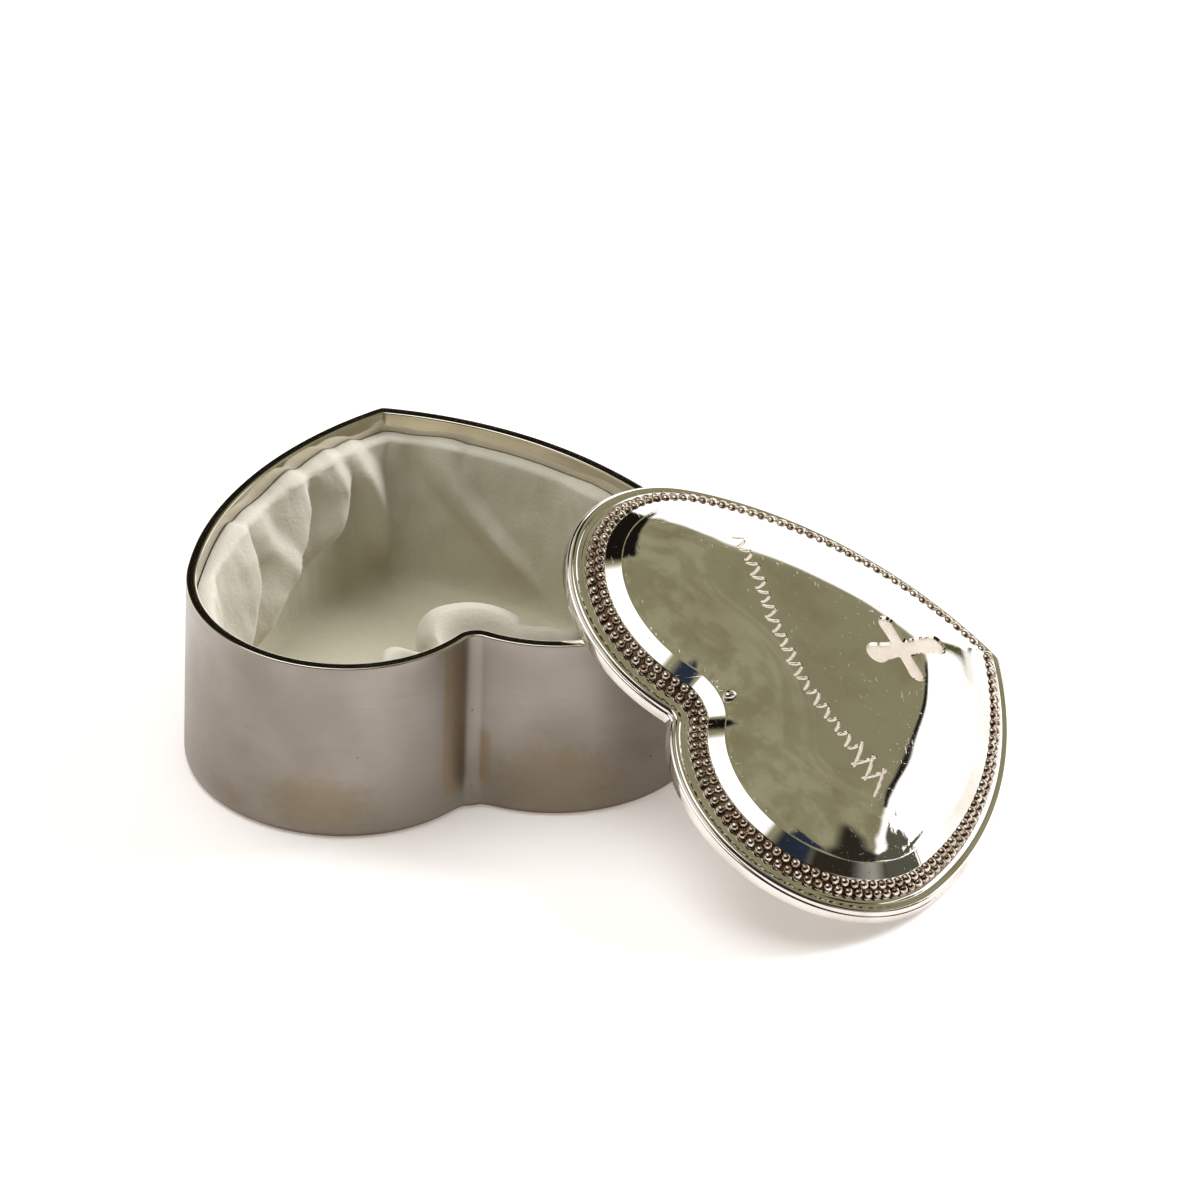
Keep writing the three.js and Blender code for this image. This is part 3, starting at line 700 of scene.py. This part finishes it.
def inset_field():
    """How far each point of a flat grid is inside the heart's outline."""
    x, y = np.meshgrid(grid_x, grid_y)
    nearest = np.full(x.shape, 1e9)
    for centre_x, centre_y, radius, start, end in half_heart_arcs(0):
        for side in (1, -1):
            dx, dy = x * side - centre_x, y - centre_y
            angle = np.arctan2(dy, dx)
            low, high = min(start, end), max(start, end)
            middle = (low + high) / 2
            away = np.mod(angle - middle + np.pi, 2 * np.pi) - np.pi
            off_arc = np.abs(away) > (high - low) / 2
            gap = np.abs(np.hypot(dx, dy) - radius)
            ends = [np.hypot(dx - radius * math.cos(a), dy - radius * math.sin(a)) for a in (low, high)]
            nearest = np.minimum(nearest, np.where(off_arc, np.minimum(*ends), gap))
    return nearest


def blurred(field, width):
    """A field smoothed by a bell curve of that width, in grid steps."""
    reach = int(3 * width)
    bell = np.exp(-0.5 * (np.arange(-reach, reach + 1) / width) ** 2)
    bell /= bell.sum()
    padded = np.pad(field, reach, mode="edge")
    rows = sum(w * padded[k:k + field.shape[0], :] for k, w in enumerate(bell))
    return sum(w * rows[:, k:k + field.shape[1]] for k, w in enumerate(bell))


insets = inset_field()
crown_share = np.clip((insets - crown_foot[0]) / crown_width, 0, 1)
crown_field = crown_foot[1] + crown_rise * (1 - (1 - crown_share) ** crown_power)
softened = blurred(crown_field, crown_blur / grid_step)
keep_edge = np.clip((insets - crown_foot[0]) / 3.0, 0, 1)
keep_edge = keep_edge * keep_edge * (3 - 2 * keep_edge)
crown_field = crown_field * (1 - keep_edge) + softened * keep_edge

# Hand buffing leaves the flat of the crown faintly wavy, so that what it mirrors runs in soft bands.
wave_size, wave_height = 11.0, 0.05
waves = np.array([[noise.noise(Vector((x / wave_size, y / wave_size, 3.1))) for x in grid_x] for y in grid_y])
crown_field = crown_field + wave_height * waves * keep_edge
slope_y, slope_x = np.gradient(crown_field, grid_step)


def sampled(field, points):
    """Values of a grid field at flat points, between the grid's own."""
    u = (points[:, 0] - grid_x[0]) / grid_step
    v = (points[:, 1] - grid_y[0]) / grid_step
    i, j = np.floor(u).astype(int), np.floor(v).astype(int)
    fu, fv = u - i, v - j
    near = field[j, i] * (1 - fu) + field[j, i + 1] * fu
    far = field[j + 1, i] * (1 - fu) + field[j + 1, i + 1] * fu
    return near * (1 - fv) + far * fv


seat_inner = wall + 0.5
bead_foot_inner = (bead_foot[0] + 0.06, bead_foot[1] - 0.05)
bead_head_inner = (bead_head[0] - 0.1, bead_head[1] - 0.16)
lid_section = [
    (crown_foot[0] + crown_width - lid_thickness, crown_foot[1] + crown_rise - lid_thickness),
    (crown_foot[0] + crown_width * 0.3, crown_foot[1] + 0.65 * crown_rise - lid_thickness),
    (crown_foot[0] + lid_thickness / 2, crown_foot[1] - lid_thickness),
    (bead_head[0] + lid_thickness / 2, bead_head[1] - lid_thickness),
    (seat_inner + 0.2, seat_height + 0.2),
    (seat_inner, seat_height),
    (-lid_clearance + 0.15, seat_height),
    (-lid_clearance, seat_height - 0.15),
    *rounded((-lid_clearance - 0.15, 0.15), 0.15, 0, -90, 3),
    *rounded((skirt_face + 0.15, 0.15), 0.15, 270, -90, 3),
    (skirt_face, 0.8),
    *rounded((skirt_face + 0.2, skirt_height - 0.5), 0.2, 180, -75, 3),
    (skirt_face + 0.22, skirt_height - 0.26),
    *rounded((skirt_face + 0.95, skirt_height - 0.16), 0.68, 185, -115, 9),
    (roll_top[0] - 0.22, roll_top[1] - 0.06),
    (roll_top[0] - 0.05, roll_top[1] - 0.02),
    (roll_top[0] + 0.06, roll_top[1] + 0.02),
    (bead_foot[0] - 0.06, bead_foot[1]),
    bead_foot_inner,
    bead_head_inner,
    (bead_head[0] - 0.02, bead_head[1]),
    (bead_head[0] + 0.12, bead_head[1] + 0.09),
    step_in(crown_foot, -0.3, inner_slope),
    step_in(crown_foot, -0.06, inner_slope),
    crown_foot,
]
lid_skin = skin_of(lid_section, lid_turns)
lid_faces = [tuple(reversed(face)) for face in ring_faces(len(lid_section), lid_points)]
lid_faces.append(tuple(range(lid_points)))

# The cross and the row of strokes: cut into the crown by the engraver and left frosted at the bottom.
# The tool leaves a narrow bright bevel round each cut, and the strokes slant to and fro by turns.
cross_length, cross_span, cross_y, cross_arm_y = 15.4, 12.3, 22.8, 21.8
cross_end, cross_waist, cross_depth, cross_bevel = 3.8, 2.8, 0.45, 0.32
arm_share, cross_flare = 0.82, 1.6


def cross_outline(trim):
    """The cross's outline, set in by `trim`, as flat points anticlockwise."""
    tips = [
        (0, cross_y + cross_length / 2 - cross_arm_y, cross_end),
        (90, cross_span / 2, cross_end * arm_share),
        (180, cross_arm_y - cross_y + cross_length / 2, cross_end),
        (270, cross_span / 2, cross_end * arm_share),
    ]
    line = []
    for turned, reach, end in tips:
        half, waist = end / 2 - trim, cross_waist / 2 - trim
        shape = [(waist, waist + 0.25)]
        straight = reach - trim - half
        shape += [
            (waist + (half - waist) * s ** cross_flare, waist + (straight - waist) * s)
            for s in np.linspace(0.15, 1, 7)
        ]
        round_end = np.linspace(0, np.pi, 13)[1:-1]
        shape += [(half * math.cos(a), straight + half * math.sin(a)) for a in round_end]
        shape += [(-x, y) for x, y in reversed(shape[:8])]
        c, s = math.cos(math.radians(turned)), math.sin(math.radians(turned))
        line += [(x * c - y * s, x * s + y * c + cross_arm_y) for x, y in shape]
    return np.array(line)


stroke_line = np.array([(22.5, 3.8), (14.3, 2.4), (2.7, 1.0), (-8.3, 2.1), (-16.7, 4.2), (-24.6, 5.4)])
stroke_pitch, stroke_width, stroke_depth, stroke_bevel = 1.32, 0.56, 0.18, 0.11
stroke_slants, tall_strokes, tall_extra = (34, -4), 5, 3.2
stroke_heights, stroke_bend, first_stroke = (3.3, 2.4, 2.7, 2.3, 3.0, 2.5), 0.16, 0.8


def stroke_outline(centre, slant, length, trim):
    """One bent stroke with round ends, set in by `trim`."""
    half = stroke_width / 2 - trim
    line = []
    for side in (1, -1):
        for s in np.linspace(-1, 1, 7) * side:
            x = stroke_bend * (s * s - 0.4) + half * side
            line.append((x, s * (length / 2 - stroke_width / 2)))
        line.append((stroke_bend * 0.6, side * (length / 2 - trim)))
    c, s = math.cos(slant), math.sin(slant)
    return np.array([(x * c - y * s + centre[0], x * s + y * c + centre[1]) for x, y in line])


def inside(polygon, points):
    """Which flat points are inside a closed outline."""
    found = np.zeros(len(points), bool)
    for a, b in zip(polygon, np.roll(polygon, -1, axis=0)):
        crosses = (a[1] > points[:, 1]) != (b[1] > points[:, 1])
        if a[1] != b[1]:
            found ^= crosses & (points[:, 0] < a[0] + (points[:, 1] - a[1]) / (b[1] - a[1]) * (b[0] - a[0]))
    return found


cuts = [(cross_outline(0), cross_outline(cross_bevel), cross_depth)]
stroke_lengths = np.hypot(*np.diff(stroke_line, axis=0).T)
stroke_ends = np.concatenate([[0], np.cumsum(stroke_lengths)])
for k, along in enumerate(np.arange(first_stroke, stroke_ends[-1], stroke_pitch)):
    centre = [np.interp(along, stroke_ends, stroke_line[:, axis]) for axis in (0, 1)]
    ahead = [np.interp(along + 1, stroke_ends, stroke_line[:, axis]) for axis in (0, 1)]
    slant = math.atan2(ahead[1] - centre[1], ahead[0] - centre[0]) + math.radians(stroke_slants[k % 2])
    length = stroke_heights[k % 6] + (tall_extra if k < tall_strokes else 0)
    cuts.append((
        stroke_outline(centre, slant, length, 0),
        stroke_outline(centre, slant, length, stroke_bevel),
        stroke_depth,
    ))

# The crown is one skin of small triangles that follows the field above and the outline of every cut.
crown_step, row_step, free_round_cuts, free_at_edge = 0.6, 0.866, 0.16, 1.1
plain_face, bevel_face, cut_face = 0, 1, 2
foot_ring = heart_ring(crown_foot[0], lid_turns)
near_rings = [heart_ring(crown_foot[0] + d, lid_turns) for d in (0.12, 0.32, 0.7)]
hex_x, hex_y = np.meshgrid(np.arange(-36, 36, crown_step), np.arange(-26, 44, crown_step * row_step))
hex_x = hex_x + (np.arange(hex_x.shape[0]) % 2)[:, None] * crown_step / 2
grid = np.column_stack([hex_x.ravel(), hex_y.ravel()])
grid = grid[inside(foot_ring, grid) & (sampled(insets, grid) > crown_foot[0] + free_at_edge)]
for outer, inner, depth in cuts:
    for line in (outer, inner):
        gaps = grid[:, None, :] - line[None, :, :]
        grid = grid[np.min(np.hypot(gaps[:, :, 0], gaps[:, :, 1]), axis=1) > free_round_cuts]
flat_points = [foot_ring, *near_rings, grid]
count = sum(len(p) for p in flat_points)
loops = [list(range(lid_points))]
for outer, inner, depth in cuts:
    for line in (outer, inner):
        loops.append(list(range(count, count + len(line))))
        flat_points.append(line)
        count += len(line)
flat_points = np.concatenate(flat_points)
verts, edges, faces, from_verts, from_edges, from_faces = geometry.delaunay_2d_cdt(
    [Vector(p) for p in flat_points], [], loops, 1, 1e-5
)
crown_flat = np.array([tuple(v) for v in verts])
crown_z = sampled(crown_field, crown_flat)
on_foot = np.array([any(k < lid_points for k in ids) for ids in from_verts])
crown_z[on_foot] = crown_foot[1]
for outer, inner, depth in cuts:
    box_low, box_high = inner.min(0) - 0.01, inner.max(0) + 0.01
    near = np.where(np.all((crown_flat > box_low) & (crown_flat < box_high), axis=1))[0]
    shrink = inner.mean(0) + (crown_flat[near] - inner.mean(0)) * 0.999
    crown_z[near[inside(inner, shrink)]] -= depth
inner_loops = set(range(2, len(loops), 2))
outer_loops = set(range(1, len(loops), 2))
crown_faces, crown_kind = [], []
crown_start = len(lid_skin)
for face, sources in zip(faces, from_faces):
    a, b, c = (crown_flat[k] for k in face)
    turned = (b[0] - a[0]) * (c[1] - a[1]) - (b[1] - a[1]) * (c[0] - a[0]) > 0
    face = tuple(face) if turned else tuple(reversed(face))
    crown_faces.append(tuple(crown_start + k for k in face))
    found = set(sources)
    if found & inner_loops:
        crown_kind.append(cut_face)
    elif found & outer_loops:
        crown_kind.append(bevel_face)
    else:
        crown_kind.append(plain_face)
lid_all = np.concatenate([lid_skin, np.column_stack([crown_flat, crown_z])])

# Bright nickel plate, buffed by hand: a clear mirror, faintly wavy, with fine scratches, pits and haze.
bright_nickel, tree, shader = new_material("bright_nickel_plate")
bright_place = place_in_mm(tree)
haze = blotches(tree, bright_place, 9.0, 4.0)
scratches = 0.0
for size, stretch, start, end in ((0.28, (38.0, 1.0, 1.0), 0.70, 0.80), (0.3, (1.0, 30.0, 1.6), 0.71, 0.80)):
    scratch = add_node(tree, "ShaderNodeMapRange", {
        "Value": blotches(tree, bright_place, size, 1.0, stretch), "From Min": start, "From Max": end,
    }, **soft_edges)
    scratches = add_node(tree, "ShaderNodeMath", {0: scratches, 1: scratch}, operation="MAXIMUM")
bright_pits = pits_in(tree, bright_place, 3.1, 0.13)
hazy = add_node(
    tree, "ShaderNodeMapRange", {"Value": haze, "From Min": 0.4, "From Max": 0.75}, **soft_edges
)
gloss = add_node(tree, "ShaderNodeMath", {0: haze, 1: 0.05, 2: 0.015}, operation="MULTIPLY_ADD")
gloss = add_node(tree, "ShaderNodeMath", {0: scratches, 1: 0.16, 2: gloss}, operation="MULTIPLY_ADD")
relief = add_node(tree, "ShaderNodeMath", {0: scratches, 1: 0.3}, operation="MULTIPLY")
relief = add_node(tree, "ShaderNodeMath", {0: relief, 1: bright_pits}, operation="SUBTRACT")
feed(shader, {
    "Base Color": layered(tree, "#d9d5cf", [(hazy, "#c6c0b6"), (bright_pits, "#30281f")]),
    "Metallic": 1.0,
    "Roughness": gloss,
    "Normal": add_node(tree, "ShaderNodeBump", {"Height": relief, "Strength": 0.3, "Distance": 0.00006}),
})

# The same plate scraped matt by the engraver's tool: pale, grainy and a little bright where the tool turned.
frosted, tree, shader = new_material("engraved_frosted_nickel")
frosted_place = place_in_mm(tree)
frost = blotches(tree, frosted_place, 0.35, 3.0)
frost_patch = blotches(tree, frosted_place, 2.2, 2.0)
feed(shader, {
    "Base Color": layered(tree, "#e2d8c9", [(frost_patch, "#c9bba8")]),
    "Metallic": 0.15,
    "Roughness": 0.5,
    "Normal": add_node(tree, "ShaderNodeBump", {"Height": frost, "Strength": 0.6, "Distance": 0.00015}),
})

# Old tarnish and polish left between the beads, where no cloth reaches: brown and dull.
tarnished, tree, shader = new_material("tarnished_nickel")
tarnish = blotches(tree, place_in_mm(tree), 1.2, 3.0)
feed(shader, {
    "Base Color": layered(tree, "#2e2018", [(tarnish, "#7d6350")]),
    "Metallic": 0.8,
    "Roughness": 0.42,
})
lid_casting = object_from(
    "lid_casting", place_lid(lid_all), lid_faces + crown_faces, [bright_nickel, frosted, tarnished]
)
lid_mesh = lid_casting.data
kinds = [plain_face] * len(lid_faces) + crown_kind
lid_finishes = [int(kind == cut_face) for kind in kinds]
band_from, band_to = lid_section.index(bead_foot_inner), lid_section.index(bead_head_inner)
tarnished_index = 2
for row in range(band_from, band_to):
    lid_finishes[row * lid_points:(row + 1) * lid_points] = [tarnished_index] * lid_points
lid_mesh.polygons.foreach_set("material_index", lid_finishes)
crown_slopes = (sampled(slope_x, crown_flat), sampled(slope_y, crown_flat))
crown_normals = np.column_stack([-crown_slopes[0], -crown_slopes[1], np.ones(len(crown_flat))])
crown_normals /= np.linalg.norm(crown_normals, axis=1)[:, None]
crown_normals = crown_normals @ lid_rotation.T
corner_normals = np.array([tuple(n.vector) for n in lid_mesh.corner_normals])
for polygon, kind in zip(lid_mesh.polygons, kinds):
    for loop in polygon.loop_indices:
        vertex = lid_mesh.loops[loop].vertex_index
        if kind == bevel_face:
            corner_normals[loop] = polygon.normal
        elif vertex >= crown_start:
            corner_normals[loop] = crown_normals[vertex - crown_start]
lid_mesh.normals_split_custom_set([tuple(n) for n in corner_normals])
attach(lid_casting, "root")
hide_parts("lid")

# The beaded border: two rows of touching half-round beads in brick order, cast in one with the lid.
# Each stands a little sunk in the sloping band, rubbed bright, with scattered blotches brown with old polish.
bead_radius, bead_pitch, row_gap, bead_sink = 0.8, 1.62, 1.3, 0.12
bead_count = round(2 * arc_lengths.sum() / bead_pitch)
bead_segments, bead_rings, smallest_bead, largest_bead, bead_seed = 12, 7, 0.94, 1.03, 4
beaded_nickel, tree, shader = new_material("rubbed_nickel_beads")
rubbing = blotches(tree, place_in_mm(tree), 0.9, 3.0)
rubbed = add_node(
    tree, "ShaderNodeMapRange", {"Value": rubbing, "From Min": 0.38, "From Max": 0.62}, **soft_edges
)
feed(shader, {
    "Base Color": layered(tree, "#d6ccc1", [(rubbed, "#8d7766")]),
    "Metallic": 1.0,
    "Roughness": 0.1,
})


def bead_tree():
    """Sets one ball on each of the evenly spaced points of a closed path."""
    tree = bpy.data.node_groups.new("bead_row", "GeometryNodeTree")
    for label, kind in (
        ("Path", "NodeSocketGeometry"), ("Bead count", "NodeSocketInt"), ("Bead radius", "NodeSocketFloat"),
        ("Seed", "NodeSocketInt"), ("Finish", "NodeSocketMaterial"),
    ):
        tree.interface.new_socket(name=label, in_out="INPUT", socket_type=kind)
    tree.interface.new_socket(name="Beads", in_out="OUTPUT", socket_type="NodeSocketGeometry")
    given = tree.nodes.new("NodeGroupInput").outputs
    path = add_node(tree, "GeometryNodeMeshToCurve", {"Mesh": given["Path"]})
    spaced = add_node(tree, "GeometryNodeResampleCurve", {"Curve": path, "Count": given["Bead count"]})
    ball = add_node(tree, "GeometryNodeMeshUVSphere", {
        "Segments": bead_segments, "Rings": bead_rings, "Radius": given["Bead radius"],
    })
    size = add_node(tree, "FunctionNodeRandomValue", {
        2: smallest_bead, 3: largest_bead, "Seed": given["Seed"],
    }, 1, data_type="FLOAT")
    beads = add_node(tree, "GeometryNodeInstanceOnPoints", {
        "Points": spaced, "Instance": ball, "Scale": size,
    })
    real = add_node(tree, "GeometryNodeRealizeInstances", {"Geometry": beads})
    smooth = add_node(tree, "GeometryNodeSetShadeSmooth", {"Geometry": real})
    finished = add_node(tree, "GeometryNodeSetMaterial", {"Geometry": smooth, "Material": given["Finish"]})
    feed(tree.nodes.new("NodeGroupOutput"), {"Beads": finished})
    return tree


rows_of_beads = bead_tree()
bead_inputs = [item for item in rows_of_beads.interface.items_tree if item.in_out == "INPUT"]
socket_ids = {item.name: item.identifier for item in bead_inputs}
band_middle = step_in(bead_foot, band_width / 2, band_slope)
band_lean = math.radians(band_slope)
path_edges = [(i, (i + 1) % lid_points) for i in range(lid_points)]
for row, side, shift in (("outer", -0.5, 0.0), ("inner", 0.5, 0.5 / bead_count)):
    inset, height = step_in(band_middle, row_gap * side, band_slope)
    sunk_inset = inset + bead_sink * math.sin(band_lean)
    sunk_height = height - bead_sink * math.cos(band_lean)
    line = heart_ring(sunk_inset, lid_turns + shift)
    path_points = place_lid(np.column_stack([line, np.full(lid_points, sunk_height)]))
    path_mesh = bpy.data.meshes.new(f"{row}_path")
    path_mesh.from_pydata([tuple(p) for p in path_points], path_edges, [])
    path_object = bpy.data.objects.new(f"{row}_path", path_mesh)
    bpy.context.collection.objects.link(path_object)
    modifier = path_object.modifiers.new("beads", "NODES")
    modifier.node_group = rows_of_beads
    modifier[socket_ids["Bead count"]] = bead_count
    modifier[socket_ids["Bead radius"]] = bead_radius * mm
    modifier[socket_ids["Seed"]] = bead_seed
    modifier[socket_ids["Finish"]] = beaded_nickel
    evaluated = path_object.evaluated_get(bpy.context.evaluated_depsgraph_get())
    bead_mesh = bpy.data.meshes.new_from_object(evaluated)
    bead_mesh.name = f"{row}_beads"
    bead_object = bpy.data.objects.new(f"{row}_beads", bead_mesh)
    bpy.context.collection.objects.link(bead_object)
    bpy.data.objects.remove(path_object)
    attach(bead_object, "root")

# One long bead closes the border at the corner of the cleft, where the two rows meet.
# It is cast in one with the lid and buffed as bright as the crown beside it.
close_x, close_y, close_long, close_wide, close_rise = 1.1, -10.5, 1.2, 0.8, 0.7
ball_steps, ball_rows = 24, 12
ball_points, ball_faces = [(0, 0, 1)], []
for row in range(1, ball_rows):
    down = math.pi * row / ball_rows
    ball_points += [
        (math.sin(down) * math.cos(a), math.sin(down) * math.sin(a), math.cos(down))
        for a in np.linspace(0, 2 * np.pi, ball_steps, endpoint=False)
    ]
ball_points.append((0, 0, -1))
for k in range(ball_steps):
    after = (k + 1) % ball_steps
    ball_faces.append((0, 1 + k, 1 + after))
    for row in range(ball_rows - 2):
        low = 1 + row * ball_steps
        ball_faces.append((low + k, low + ball_steps + k, low + ball_steps + after, low + after))
    last_row = 1 + (ball_rows - 2) * ball_steps
    ball_faces.append((last_row + k, len(ball_points) - 1, last_row + after))
ball_points = np.array(ball_points) * (close_wide, close_long, 0.8)
ball_points += (close_x, close_y, crown_foot[1] + close_rise)
cleft_bead = object_from("cleft_bead", place_lid(ball_points), ball_faces, [bright_nickel])
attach(cleft_bead, "root")
